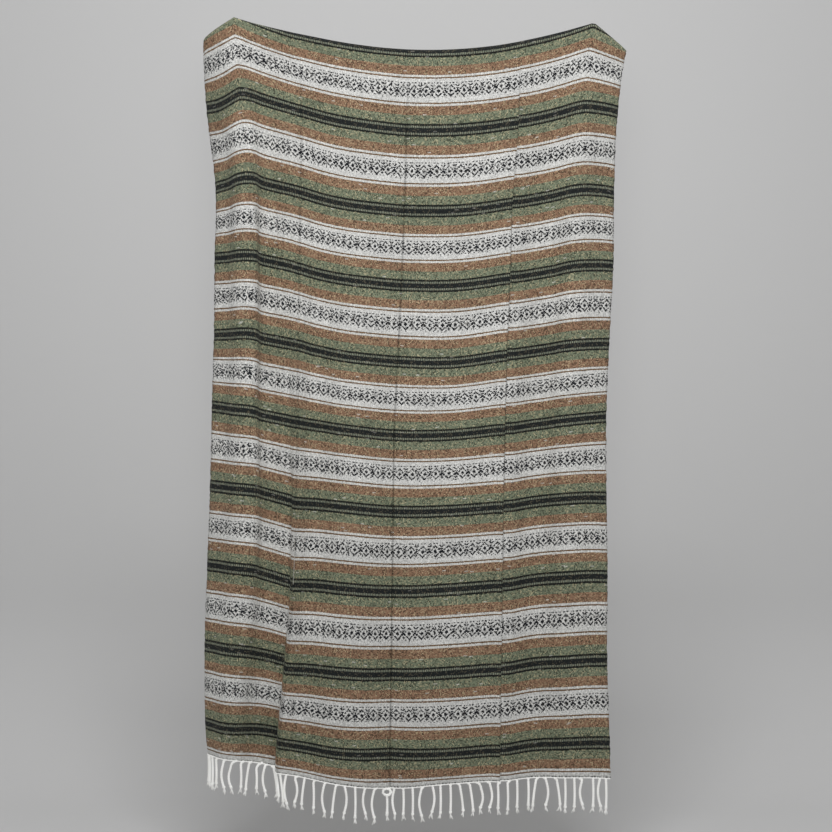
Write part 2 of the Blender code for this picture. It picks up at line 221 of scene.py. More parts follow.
def towards_viewer(across, along):
    """How far the folds, creases and pressed lines bring the cloth towards the viewer."""
    depth = np.zeros_like(across)
    down = np.clip(along / FRONT_HEM, 0.0, 1.0)
    for fold in FOLDS:
        centre = fold.across_top + (fold.across_foot - fold.across_top) * down
        reach = np.where(across < centre, fold.reach_left, fold.reach_right)
        away = np.minimum(np.abs(across - centre) / reach, 1.0)
        shape = (1 - away) ** 2 if fold.pressed else (1 + np.cos(np.pi * away)) / 2
        levels = (fold.at_fold, fold.at_shoulder, fold.at_middle, fold.at_foot)
        depth = depth + shape * smooth_curve(FOLD_LEVELS, levels, along)
    for line in PRESSED_LINES:
        away = np.minimum(np.abs(across - line.across) / line.half_width, 1.0)
        levels = (line.at_fold, line.at_shoulder, line.at_middle, line.at_foot)
        depth = depth + (1 - away) ** 2 * smooth_curve(FOLD_LEVELS, levels, along)
    ripples = [
        noise.noise(Vector((one * RIPPLE_ACROSS, two * RIPPLE_ALONG, 0.0)))
        for one, two in zip(across, along)
    ]
    return depth * MM + np.array(ripples) * RIPPLE


def slipped(across):
    """How far the picks beside the sharp lines have slipped down."""
    slip = np.zeros_like(across)
    for line in PRESSED_LINES:
        away = (across - line.across) / SLIP_REACH
        slip = slip - line.slip * MM * np.sign(away) * np.maximum(1 - np.abs(away), 0.0) ** 2
    return slip


def hang(across, along):
    """The depth and height of the cloth: on the fall in front, the turn over the fold or the flap."""
    fold_at = fold_place(across)
    in_front = fold_at + np.abs(along - fold_at)
    from_fold = in_front - fold_at
    turned = np.minimum(from_fold / FOLD_RADIUS, math.pi / 2)
    straight = np.maximum(from_fold - QUARTER_TURN, 0.0)
    dropped = FOLD_RADIUS * (1 - np.cos(turned)) + straight
    lag = (from_fold - dropped) * near_fold(across, in_front)
    slip = slipped(across) * (1 - near_fold(across, in_front))
    height = lag - read_table(DROPS, LINES, across, in_front) - slip
    depth = -towards_viewer(across, in_front) - FOLD_RADIUS * np.sin(turned)
    behind = 2 * FOLD_RADIUS * np.sin(turned) + FLAP_STANDS_OFF * straight / END_BAND
    return depth + np.where(along < fold_at, behind, 0.0), height


def hang_row(across, along):
    """The points of one weft row, in which each stretch takes the width that its slope leaves it."""
    fold_at = fold_place(across)
    in_front = fold_at + np.abs(along - fold_at)
    depth, height = hang(across, along)
    gaps = np.diff(across)
    sideways = gaps**2 - np.diff(depth) ** 2 - np.diff(height) ** 2
    walked = np.sqrt(np.maximum(sideways, (LEAST_SIDEWAYS * gaps) ** 2))
    walked = np.concatenate([[0.0], np.cumsum(walked)])
    spread = read_table(SPREADS, CREASES, across, in_front)
    result = np.empty_like(across)
    for crease in range(len(CREASES) - 1):
        start = crease * QUARTER
        inside = np.abs(across - start - QUARTER / 2) < QUARTER / 2 + SAME_PLACE
        first, last = np.flatnonzero(inside)[[0, -1]]
        share = (walked[inside] - walked[first]) / (walked[last] - walked[first])
        result[inside] = spread[first] + (spread[last] - spread[first]) * share
    return np.stack([result, depth, height], axis=1)


def cloth_columns():
    """The places of the mesh's columns, with more of them beside the pressed lines."""
    places = set(np.round(np.linspace(0, CLOTH_WIDTH, COLUMNS + 1), 6))
    for line in PRESSED_LINES:
        near = [line.across + side * away for away in BESIDE_A_LINE for side in (-1, 1)]
        places = {place for place in places if abs(place - line.across) > CLEAR_OF_A_LINE}
        places |= {line.across, *near}
    return np.array(sorted(places | {LINES["left_grip"]}))


def cloth_rows(across):
    """The places along the warp of each row of the mesh, for every column."""
    fold_at = fold_place(across)
    flap_top = fold_at - QUARTER_TURN
    flap = [BACK_HEM + (flap_top - BACK_HEM) * row / FLAP_ROWS for row in range(FLAP_ROWS)]
    turn = [fold_at + QUARTER_TURN * row / TURN_ROWS for row in range(-TURN_ROWS, TURN_ROWS)]
    fall_top = fold_at + QUARTER_TURN
    fall = [fall_top + (FRONT_HEM - fall_top) * row / FALL_ROWS for row in range(FALL_ROWS + 1)]
    return flap + turn + fall


def repeat_at(along):
    """How many stripe repeats lie above a place along the warp."""
    starts = np.concatenate([[0.0], np.cumsum(STRIPE_REPEATS)])
    inside = np.interp(along, starts, np.arange(len(starts)))
    beyond = np.maximum(along - starts[-1], 0.0) + np.minimum(along, 0.0)
    return inside + beyond / MEAN_REPEAT


def store_cloth_place(mesh, across, along):
    """Gives every vertex its place on the flat cloth, which the pattern follows."""
    across = np.asarray(across, float)
    along = np.asarray(along, float)
    of_loops = np.empty(len(mesh.loops), int)
    mesh.loops.foreach_get("vertex_index", of_loops)
    for name, values in (("cloth", along), ("stripes", repeat_at(along))):
        layer = mesh.uv_layers.new(name=name)
        places = np.stack([across[of_loops], values[of_loops]], axis=1)
        layer.uv.foreach_set("vector", places.astype(np.float32).ravel())


def mesh_of(name, verts, faces, material):
    """A smooth mesh object in the scene, from its points and faces."""
    mesh = bpy.data.meshes.new(name)
    mesh.from_pydata([tuple(vert) for vert in verts], [], faces)
    mesh.polygons.foreach_set("use_smooth", [True] * len(mesh.polygons))
    mesh.materials.append(material)
    thing = bpy.data.objects.new(name, mesh)
    bpy.context.scene.collection.objects.link(thing)
    return thing


def make_cloth(material):
    """The cloth as one thin sheet with its thickness."""
    draw = np.random.default_rng(EDGE_SEED)
    across = cloth_columns()
    rows = cloth_rows(across)
    wide = len(across)
    points = [hang_row(across, along) + SHIFT for along in rows]
    for row in points:
        row[[0, -1], 0] += draw.uniform(-1, 1, 2) * EDGE_JITTER
    corners = [row * wide + column for row in range(len(rows) - 1) for column in range(wide - 1)]
    faces = [(corner, corner + 1, corner + wide + 1, corner + wide) for corner in corners]
    cloth = mesh_of("woven_cloth_panel", np.concatenate(points), faces, material)
    store_cloth_place(cloth.data, np.tile(across, len(rows)), np.concatenate(rows))
    solidify = cloth.modifiers.new("cloth thickness", "SOLIDIFY")
    solidify.thickness = WALL
    solidify.offset = 0.0
    return cloth


grip_row = cloth_columns()
grip_point = hang_row(grip_row, fold_place(grip_row))[list(grip_row).index(LINES["left_grip"])]
SHIFT = np.array((0.0, 0.0, WALL / 2)) - grip_point


# The yarns of the cloth. The weft is thick recycled yarn, each stripe of one colour with flecks of others
# spun into it, beaten over a thinner warp, and the diamond bands are dark yarn picked up over white.
PICK = 0.0026
END = 0.0026
PICKS_WANDER = 2.2 * PICK
WANDER_SCALE = 60.0
LEAST_RELIEF = 0.35
SLUB_ENDS = 3.4
SLUB_STAGGER = 0.37
CROSSING_SEED = 0.0
OTHER_SEED = 5.0
SLUB_SEED = 9.0
BUMP_HEIGHT = 0.0012
BUMP_STRENGTH = 0.6

# The stripes from the middle of one black one to the middle of the diamonds: how wide each is beside the
# others, its colour, how much it is flecked, and how dark the dots along it are. Their repeats are counted
# from far behind the fold, so that no count is below nought.
Stripe = namedtuple("Stripe", "name wide colour heather dotted")
STRIPES = (
    Stripe("broad black", 5.8, (38, 41, 41), 0.22, 0.0),
    Stripe("dotted light line", 5.1, (140, 146, 130), 0.3, 0.9),
    Stripe("narrow black", 5.1, (35, 37, 35), 0.22, 0.0),
    Stripe("sage green", 21.0, (126, 133, 111), 1.0, 0.0),
    Stripe("brown", 22.3, (150, 120, 97), 1.0, 0.0),
    Stripe("white line", 5.4, (226, 226, 222), 0.1, 0.15),
    Stripe("tan line", 3.5, (134, 104, 74), 0.3, 0.6),
    Stripe("white", 9.5, (221, 221, 218), 0.12, 0.0),
    Stripe("diamonds", 20.0, (221, 221, 218), 0.12, 0.0),
)
REPEATS_BEFORE = 20.0
RAGGED_BORDER = 0.005
DOT_PITCH = 0.0045
DOT_FROM = -0.6
DOT_TO = 0.3

# Half of one lozenge of the diamond band, from its middle to the right, and how unevenly it is woven
DIAMOND_PITCH = CLOTH_WIDTH / 36
DIAMOND_CHART = (
    ".##..#.",
    ".......",
    "#...##.",
    "##...##",
    ".##....",
    "...#.##",
    "#..##.#",
    "##...##",
    "##..###",
    "#...##.",
    "..##..#",
    ".##..##",
    "##....#",
    "#...#..",
    ".......",
)
CHART_COLUMNS = 12
DIAMOND_WANDER_SCALE = 14.0
DIAMOND_WANDER_DOWN = 0.08
DIAMOND_WANDER_ACROSS = 0.50
DIAMOND_RAGGED_DOWN = 0.035
DIAMOND_RAGGED_ACROSS = 0.04
CROWDED_TO = 0.45
CROWDED_LEFT = 0.15
CROWDED_RIGHT = 0.05

# The painted shade along the sharp creases, a loose end of yarn, and the colours and shares of the flecks
LINE_REACH = 0.0055
LINES_BEGIN = 0.04
LINES_FULL = 0.22
LINE_SHADE_VARY_SCALE = 16.0
LINE_SHADE_VARY_RANGE = (0.3, 0.6)
LEAST_LINE_SHADE_SHARE = 0.6
Thread = namedtuple("Thread", "across middle length wide")
LOOSE_THREAD = Thread(QUARTER - 0.0015, 1.28, 0.127, 0.0018)
DARK_YARN = (34, 36, 41)
CREAM_FLECK = (214, 198, 160)
DARK_FLECK = (38, 36, 30)
SLUB = (222, 220, 212)
THREAD_SHOWS = 0.6
CREAM_FROM = 0.85
CREAM_SHOWS = 0.42
DARK_TO = 0.20
DARK_SHOWS = 0.62
SLUB_FROM = 0.994
SLUB_SHOWS = 0.05
SLUB_SHOWS_IN_HEATHER = 0.5
SPECKLE = 0.20
MOTTLE_SCALE = 230.0
MOTTLE_RANGE = (0.25, 0.75)
MOTTLE = 0.28
PATCH_SCALE = 9.0
PATCH_RANGE = (0.3, 0.7)
PATCH = 0.06


def linear(colour):
    """A colour given as it looks on a screen, 0 to 255, in the shader's own linear values."""
    channels = [channel / 255 for channel in colour]
    return (*[(c / 12.92 if c < 0.04045 else ((c + 0.055) / 1.055) ** 2.4) for c in channels], 1.0)


class Tree:
    """A node tree with short calls for the nodes that a weave needs."""

    def __init__(self, tree):
        self.tree = tree

    def node(self, kind, **settings):
        made = self.tree.nodes.new(kind)
        for name, value in settings.items():
            setattr(made, name, value)
        return made

    def feed(self, socket, value):
        if isinstance(value, bpy.types.NodeSocket):
            self.tree.links.new(value, socket)
        else:
            socket.default_value = value

    def maths(self, operation, *values):
        made = self.node("ShaderNodeMath", operation=operation)
        for socket, value in zip(made.inputs, values):
            self.feed(socket, value)
        return made.outputs[0]

    def mix(self, share, one, two, blend="MIX"):
        made = self.node("ShaderNodeMix", data_type="RGBA", blend_type=blend)
        self.feed(made.inputs[0], share)
        self.feed(made.inputs[6], one)
        self.feed(made.inputs[7], two)
        return made.outputs[2]

    def vector(self, *values):
        made = self.node("ShaderNodeCombineXYZ")
        for socket, value in zip(made.inputs, values):
            self.feed(socket, value)
        return made.outputs[0]

    def fleck(self, *values):
        """A random number for each whole step of its inputs."""
        made = self.node("ShaderNodeTexWhiteNoise", noise_dimensions="3D")
        self.feed(made.inputs["Vector"], self.vector(*values))
        return made.outputs["Value"]

    def cloud(self, place, scale, detail=2.0):
        made = self.node("ShaderNodeTexNoise", noise_dimensions="3D")
        self.feed(made.inputs["Vector"], place)
        made.inputs["Scale"].default_value = scale
        made.inputs["Detail"].default_value = detail
        return made.outputs["Fac"]

    def spread(self, value, from_low, from_high, to_low, to_high):
        made = self.node("ShaderNodeMapRange")
        for socket, given in zip(made.inputs, (value, from_low, from_high, to_low, to_high)):
            self.feed(socket, given)
        return made.outputs[0]


def weave_group():
    """The plain weave: its relief, two random numbers for each crossing and one for each slub."""
    group = bpy.data.node_groups.new("plain weave", "ShaderNodeTree")
    for name, kind in (("Across", "NodeSocketFloat"), ("Along", "NodeSocketFloat")):
        group.interface.new_socket(name, in_out="INPUT", socket_type=kind)
    for name in ("Relief", "Crossing", "Other", "Slub"):
        group.interface.new_socket(name, in_out="OUTPUT", socket_type="NodeSocketFloat")
    tree = Tree(group)
    given = tree.node("NodeGroupInput")
    place = tree.vector(given.outputs["Across"], given.outputs["Along"], 0.0)
    wander = tree.maths("SUBTRACT", tree.cloud(place, WANDER_SCALE), 0.5)
    along = tree.maths("MULTIPLY_ADD", wander, PICKS_WANDER, given.outputs["Along"])
    picks = tree.maths("DIVIDE", along, PICK)
    ends = tree.maths("DIVIDE", given.outputs["Across"], END)
    pick = tree.maths("FLOOR", picks)
    end = tree.maths("FLOOR", ends)
    on_pick = tree.maths("SINE", tree.maths("MULTIPLY", tree.maths("FRACT", picks), math.pi))
    turn = tree.maths("MULTIPLY", tree.maths("ADD", ends, pick), math.pi)
    over = tree.maths("MULTIPLY_ADD", tree.maths("COSINE", turn), 0.5, 0.5)
    raised = tree.maths("MULTIPLY_ADD", over, 1 - LEAST_RELIEF, LEAST_RELIEF)
    relief = tree.maths("MULTIPLY", on_pick, raised)
    slub = tree.maths("MULTIPLY_ADD", pick, SLUB_STAGGER, tree.maths("DIVIDE", ends, SLUB_ENDS))
    slub = tree.maths("FLOOR", slub)
    out = tree.node("NodeGroupOutput")
    tree.feed(out.inputs["Relief"], relief)
    tree.feed(out.inputs["Crossing"], tree.fleck(end, pick, CROSSING_SEED))
    tree.feed(out.inputs["Other"], tree.fleck(end, pick, OTHER_SEED))
    tree.feed(out.inputs["Slub"], tree.fleck(slub, pick, SLUB_SEED))
    return group


def steps_ramp(tree, value, steps):
    """Reads a list of colours, each held over its own share of 0 to 1."""
    ramp = tree.node("ShaderNodeValToRGB")
    ramp.color_ramp.interpolation = "CONSTANT"
    total = sum(wide for wide, colour in steps)
    stop = 0.0
    for number, (wide, colour) in enumerate(steps):
        if number > 1:
            ramp.color_ramp.elements.new(stop / total)
        element = ramp.color_ramp.elements[number]
        element.position = stop / total
        element.color = colour
        stop += wide
    tree.feed(ramp.inputs[0], value)
    return ramp.outputs[0]


def chart_mask(tree, across, row):
    """Dark yarn where the chart has a mark. Each row of it is read as one binary number."""
    largest = 2 ** len(DIAMOND_CHART[0]) - 1
    rows = []
    for marks in DIAMOND_CHART:
        number = sum(2**column for column, mark in enumerate(marks) if mark == "#")
        rows.append((1, (number / largest, 0.0, 0.0, 1.0)))
    split = tree.node("ShaderNodeSeparateColor")
    tree.feed(split.inputs[0], steps_ramp(tree, row, rows))
    number = tree.maths("MULTIPLY_ADD", split.outputs[0], largest, 0.5)
    column = tree.maths("FLOOR", tree.maths("MULTIPLY", tree.maths("FRACT", across), CHART_COLUMNS))
    column = tree.maths("ABSOLUTE", tree.maths("SUBTRACT", column, CHART_COLUMNS / 2))
    shifted = tree.maths("FLOOR", tree.maths("DIVIDE", number, tree.maths("POWER", 2.0, column)))
    return tree.maths("GREATER_THAN", tree.maths("MODULO", shifted, 2.0), 0.5)


def painted_crease_shade(tree, across, along, place):
    """Painted shade along the sharp creases: thin dark lines, which begin a little below the fold and vary
    in strength along them.
    """
    total = 0.0
    for line in PRESSED_LINES:
        away = tree.maths("ABSOLUTE", tree.maths("SUBTRACT", across, line.across))
        total = tree.maths("ADD", tree.spread(away, 0.0, LINE_REACH, line.dark, 0.0), total)
    shade_varies = tree.spread(tree.cloud(place, LINE_SHADE_VARY_SCALE), *LINE_SHADE_VARY_RANGE, LEAST_LINE_SHADE_SHARE, 1.0)
    begun = tree.spread(along, LINES_BEGIN, LINES_FULL, 0.0, 1.0)
    return tree.maths("MULTIPLY", tree.maths("MULTIPLY", total, shade_varies), begun)


def thread_mask(tree, across, along):
    """A loose white end of yarn that lies down the first crease."""
    beside = tree.maths("COMPARE", across, LOOSE_THREAD.across, LOOSE_THREAD.wide / 2)
    within = tree.maths("COMPARE", along, LOOSE_THREAD.middle, LOOSE_THREAD.length / 2)
    return tree.maths("MULTIPLY", beside, within)


def cloth_material():
    """Heathered wool in stripes, with the diamond bands picked up in dark yarn."""
    material = bpy.data.materials.new("striped falsa cloth")
    material.use_nodes = True
    tree = Tree(material.node_tree)
    shader = material.node_tree.nodes["Principled BSDF"]
    flat = tree.node("ShaderNodeSeparateXYZ")
    tree.feed(flat.inputs[0], tree.node("ShaderNodeUVMap", uv_map="cloth").outputs[0])
    striped = tree.node("ShaderNodeSeparateXYZ")
    tree.feed(striped.inputs[0], tree.node("ShaderNodeUVMap", uv_map="stripes").outputs[0])
    across, along, repeat = flat.outputs[0], flat.outputs[1], striped.outputs[1]

    weave = tree.node("ShaderNodeGroup", node_tree=weave_group())
    tree.feed(weave.inputs["Across"], across)
    tree.feed(weave.inputs["Along"], along)
    crossing, other = (weave.outputs[name] for name in ("Crossing", "Other"))
    place = tree.vector(across, along, 0.0)
    ragged = tree.maths("SUBTRACT", crossing, 0.5)

    # The stripes, mirrored about each broad black one, with slightly ragged borders
    phase = tree.maths("FRACT", tree.maths("ADD", repeat, REPEATS_BEFORE))
    from_black = tree.maths("PINGPONG", tree.maths("MULTIPLY_ADD", ragged, RAGGED_BORDER, phase), 0.5)
    from_black = tree.maths("MULTIPLY", from_black, 2.0)
    colour = steps_ramp(tree, from_black, [(stripe.wide, linear(stripe.colour)) for stripe in STRIPES])
    nature = tree.node("ShaderNodeSeparateColor")
    kinds = [(stripe.wide, (stripe.heather, stripe.dotted, 0.0, 1.0)) for stripe in STRIPES]
    tree.feed(nature.inputs[0], steps_ramp(tree, from_black, kinds))
    heather, dotted = nature.outputs[0], nature.outputs[1]
    turn = tree.maths("MULTIPLY", across, 2 * math.pi / DOT_PITCH)
    gap = tree.spread(tree.maths("SINE", turn), DOT_FROM, DOT_TO, 1.0, 0.0)
    colour = tree.mix(tree.maths("MULTIPLY", gap, dotted), colour, linear(DARK_FLECK))

    # The diamonds, uneven from one to the next and crowded towards the left edge
    total = sum(stripe.wide for stripe in STRIPES)
    band = STRIPES[-1].wide / total
    slow = tree.maths("SUBTRACT", tree.cloud(place, DIAMOND_WANDER_SCALE), 0.5)
    down_band = tree.maths("DIVIDE", tree.maths("SUBTRACT", phase, 0.5 - band / 2), band)
    down_band = tree.maths("MULTIPLY_ADD", ragged, DIAMOND_RAGGED_DOWN, down_band)
    down_band = tree.maths("MULTIPLY_ADD", slow, DIAMOND_WANDER_DOWN, down_band)
    inside = tree.maths("COMPARE", down_band, 0.5, 0.5)
    sideways = tree.maths("DIVIDE", across, DIAMOND_PITCH)
    loose = tree.maths("SUBTRACT", other, 0.5)
    sideways = tree.maths("MULTIPLY_ADD", loose, DIAMOND_RAGGED_ACROSS, sideways)
    sideways = tree.maths("MULTIPLY_ADD", slow, DIAMOND_WANDER_ACROSS, sideways)
    chart = chart_mask(tree, sideways, down_band)
    crowd = tree.spread(across, 0.0, CROWDED_TO, CROWDED_LEFT, CROWDED_RIGHT)
    added = tree.maths("LESS_THAN", crossing, crowd)
    missed = tree.maths("GREATER_THAN", crossing, tree.maths("SUBTRACT", 1.0, crowd))
    dark = tree.maths("MULTIPLY", tree.maths("MAXIMUM", chart, added), inside)
    dark = tree.maths("MULTIPLY", dark, tree.maths("SUBTRACT", 1.0, missed))
    colour = tree.mix(dark, colour, linear(DARK_YARN))

    # Flecks of other yarns, short white slubs, and the mottle of the spinning
    light_fleck = tree.maths("GREATER_THAN", crossing, CREAM_FROM)
    shows = tree.maths("MULTIPLY", tree.maths("MULTIPLY", light_fleck, heather), CREAM_SHOWS)
    colour = tree.mix(shows, colour, linear(CREAM_FLECK))
    dark_fleck = tree.maths("LESS_THAN", crossing, DARK_TO)
    shows = tree.maths("MULTIPLY", tree.maths("MULTIPLY", dark_fleck, heather), DARK_SHOWS)
    colour = tree.mix(shows, colour, linear(DARK_FLECK))
    slub = tree.maths("GREATER_THAN", weave.outputs["Slub"], SLUB_FROM)
    slub_shows = tree.maths("MULTIPLY_ADD", heather, SLUB_SHOWS_IN_HEATHER, SLUB_SHOWS)
    colour = tree.mix(tree.maths("MULTIPLY", slub, slub_shows), colour, linear(SLUB))
    shows = tree.maths("MULTIPLY", thread_mask(tree, across, along), THREAD_SHOWS)
    colour = tree.mix(shows, colour, linear(SLUB))
    speckle = tree.spread(other, 0.0, 1.0, 1 - SPECKLE, 1 + SPECKLE)
    mottle = tree.spread(tree.cloud(place, MOTTLE_SCALE, 3.0), *MOTTLE_RANGE, 1 - MOTTLE, 1 + MOTTLE)
    patches = tree.spread(tree.cloud(place, PATCH_SCALE), *PATCH_RANGE, 1 - PATCH, 1 + PATCH)
    tone = tree.maths("MULTIPLY", tree.maths("MULTIPLY", speckle, mottle), patches)
    # The painted shade along the sharp creases darkens the colour here.
    pressed = tree.maths("SUBTRACT", 1.0, painted_crease_shade(tree, across, along, place))
    tone = tree.maths("MULTIPLY", tone, pressed)
    colour = tree.mix(1.0, colour, tree.vector(tone, tone, tone), "MULTIPLY")
    tree.feed(shader.inputs["Base Color"], colour)

    shader.inputs["Roughness"].default_value = 0.94
    shader.inputs["Specular IOR Level"].default_value = 0.12
    shader.inputs["Sheen Weight"].default_value = 0.04
    shader.inputs["Sheen Roughness"].default_value = 0.5
    bump = tree.node("ShaderNodeBump")
    bump.inputs["Strength"].default_value = BUMP_STRENGTH
    bump.inputs["Distance"].default_value = BUMP_HEIGHT
    tree.feed(bump.inputs["Height"], weave.outputs["Relief"])
    tree.feed(shader.inputs["Normal"], bump.outputs[0])
    return material


cloth = make_cloth(cloth_material())
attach(cloth, "root")
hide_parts("woven_panel")


# The header lines. Along each cut end the warp is knotted off into a thin white twisted line, from which
# the fringe hangs. It is made of the white warp itself, so it follows the hem exactly.
SEAM = 0.0007
HEADER_HEIGHT = 0.0035
HEADER_PLY = 0.0015
HEADER_LAY = 0.0006
HEADER_TWIST = 0.011
HEADER_STEP = 0.0022
HEADER_SINKS = 0.0013
HEM_READ_OVER = 0.01
STRAND_SIDES = 6
DULL_YARN = (226, 226, 222)
BRIGHT_YARN = (250, 250, 248)
TONE_RANGE = (0.6, 1.4)
# The white yarn is given a painted glow, so that it looks lighter than the lamps make it.
PAINTED_YARN_GLOW = 0.26
GRAIN_SCALE = 900.0
YARN_PATCH_SCALE = 40.0
GRAIN_HEIGHT = 0.0004
GRAIN_STRENGTH = 0.4


def yarn_material():
    """Matt white warp yarn, with the fibres showing as fine uneven grain, and a painted glow that makes it
    lighter than the lamps light it.
    """
    material = bpy.data.materials.new("white warp yarn")
    material.use_nodes = True
    tree = Tree(material.node_tree)
    shader = material.node_tree.nodes["Principled BSDF"]
    place = tree.node("ShaderNodeNewGeometry").outputs["Position"]
    grain = tree.cloud(place, GRAIN_SCALE, 3.0)
    patches = tree.cloud(place, YARN_PATCH_SCALE)
    tone = tree.spread(tree.maths("ADD", grain, patches), *TONE_RANGE, 0.0, 1.0)
    colour = tree.mix(tone, linear(DULL_YARN), linear(BRIGHT_YARN))
    tree.feed(shader.inputs["Base Color"], colour)
    # Painted light: the yarn glows in its own colour, though it is no lamp.
    tree.feed(shader.inputs["Emission Color"], colour)
    shader.inputs["Emission Strength"].default_value = PAINTED_YARN_GLOW
    shader.inputs["Roughness"].default_value = 0.85
    shader.inputs["Specular IOR Level"].default_value = 0.3
    shader.inputs["Sheen Weight"].default_value = 0.15
    bump = tree.node("ShaderNodeBump")
    bump.inputs["Strength"].default_value = GRAIN_STRENGTH
    bump.inputs["Distance"].default_value = GRAIN_HEIGHT
    tree.feed(bump.inputs["Height"], grain)
    tree.feed(shader.inputs["Normal"], bump.outputs[0])
    return material


def twisted_cord(path, plies, ply_radius, lay_radius, twist, sides, start=0.0, taper=None):
    """The points and faces of plies twisted round a path."""
    path = np.asarray(path, float)
    tangents = np.gradient(path, axis=0)
    tangents /= np.linalg.norm(tangents, axis=1)[:, None]
    ahead = np.where(np.abs(tangents[:, 1:2]) < 0.9, [[0.0, 1.0, 0.0]], [[1.0, 0.0, 0.0]])
    one = np.cross(tangents, ahead)
    one /= np.linalg.norm(one, axis=1)[:, None]
    two = np.cross(tangents, one)
    gone = np.concatenate([[0.0], np.cumsum(np.linalg.norm(np.diff(path, axis=0), axis=1))])
    width = np.ones(len(path)) if taper is None else taper(gone / gone[-1])
    verts, faces = [], []
    for ply in range(plies):
        angle = start + 2 * math.pi * (gone / twist + ply / plies)
        centres = path + lay_radius * width[:, None] * (
            np.cos(angle)[:, None] * one + np.sin(angle)[:, None] * two
        )
        base = len(verts)
        for ring, centre in enumerate(centres):
            for side in range(sides):
                turn = 2 * math.pi * side / sides
                arm = math.cos(turn) * one[ring] + math.sin(turn) * two[ring]
                verts.append(centre + arm * ply_radius * width[ring])
        for ring in range(len(centres) - 1):
            for side in range(sides):
                a = base + ring * sides + side
                b = base + ring * sides + (side + 1) % sides
                faces.append((a, b, b + sides, a + sides))
        faces.append(tuple(base + side for side in reversed(range(sides))))
        faces.append(tuple(base + (len(centres) - 1) * sides + side for side in range(sides)))
    return verts, faces


class Heap:
    """Gathers the points and faces of many small things for one mesh."""

    def __init__(self):
        self.verts = []
        self.faces = []

    def add(self, made):
        verts, faces = made
        base = len(self.verts)
        self.verts += [tuple(vert) for vert in verts]
        self.faces += [tuple(base + corner for corner in face) for face in faces]


def hem_line(along, below):
    """A function from a place across the cloth to a point a little below its cut end."""
    columns = cloth_columns()
    ends = hang_row(columns, np.full_like(columns, along)) + SHIFT
    back = hang_row(columns, np.full_like(columns, along - math.copysign(HEM_READ_OVER, along))) + SHIFT
    downs = ends - back
    downs /= np.linalg.norm(downs, axis=1)[:, None]
    line = ends + downs * below
    return lambda across: np.array([np.interp(across, columns, line[:, axis]) for axis in range(3)])


def make_header(name, along, material):
    """One header line, twisted from two plies."""
    at = hem_line(along, HEADER_SINKS)
    steps = int(CLOTH_WIDTH / HEADER_STEP)
    path = [at(CLOTH_WIDTH * step / steps) for step in range(steps + 1)]
    verts, faces = twisted_cord(path, 2, HEADER_PLY, HEADER_LAY, HEADER_TWIST, STRAND_SIDES)
    return mesh_of(name, verts, faces, material)


white_yarn = yarn_material()
front_header = make_header("front_header_line", FRONT_HEM, white_yarn)
back_header = make_header("back_header_line", BACK_HEM, white_yarn)


# The fringes. Each cord is a bunch of warp ends twisted hard together and knotted just above its frayed
# tip. The cords leave the header line in uneven steps, some of them in a small arch, and one in a ring.
# Their roots are in mm from the left selvedge.
CORD_ROOTS = (
    12, 32, 47, 67, 96, 117, 145, 173, 196, 219, 245, 266,
    287, 303, 325, 348, 370, 397, 425, 447, 472, 496, 518, 551,
    572, 595, 619, 641, 669, 689, 714, 738, 763, 790, 813, 833,
    860, 885, 914, 933, 958, 985, 1005, 1027, 1046, 1074, 1092, 1108,
)
CORD_LENGTH = 0.084
CORD_LENGTH_CHANGE = 0.006
CORD_SEED = 7
CORD_RINGS = 40
CORD_PLY = 0.0019
CORD_LAY = 0.0016
CORD_TWIST = 0.013
HOOK_RINGS = 10
RING_RADIUS = 0.0082
RING_TURNS = 1.5
RING_WIDENS = 1.2
RING_STEPS = 36
RING_LEAN = -0.06
TWIST_STARTS_BY = 6
KNOT_THICKER = 0.42
KNOT_AT = 0.955
KNOT_REACH = 0.035
LOOSE_ENDS = 4
FRAY_SEED_STEP = 40
FRAY_LENGTH = 0.013
FRAY_THICK = 0.0012
FRAY_LAY = 0.0004
FRAY_TWIST = 0.02
FRAY_SIDES = 4
FRAY_STEPS = 3
FRAY_THINS = 0.45
FRAY_SPREAD = 0.22
FRAY_UNEVEN = 0.12
FRAY_TURN = 0.25
FRAY_SHORTEST = 0.7
FRAY_LONGEST = 1.15
Hang = namedtuple("Hang", "lean bow")
HANGS = {
    "s": Hang(0.000, 0.001),
    "l": Hang(-0.008, -0.001),
    "r": Hang(0.008, 0.001),
    "b": Hang(0.002, -0.006),
    "d": Hang(-0.002, 0.006),
}
FRONT_HANGS = "ssssbbslsbrrrbdlsbldsbbsbssbdssrrddssssldrssbsbs"
BACK_HANGS = "rbsdslsrsbssdslrsbsdsslsrbsdssbslrsdsbssrlsbsdsl"
HOOKS = {".": 0.0, ">": 0.0075, "<": -0.0075, ")": 0.017, "(": -0.014, "o": 0.0}
FRONT_HOOKS = "...>>)>>)><...>.>>>...>o...>...<<(<>>..><<..<..."
BACK_HOOKS = FRONT_HOOKS[::-1]


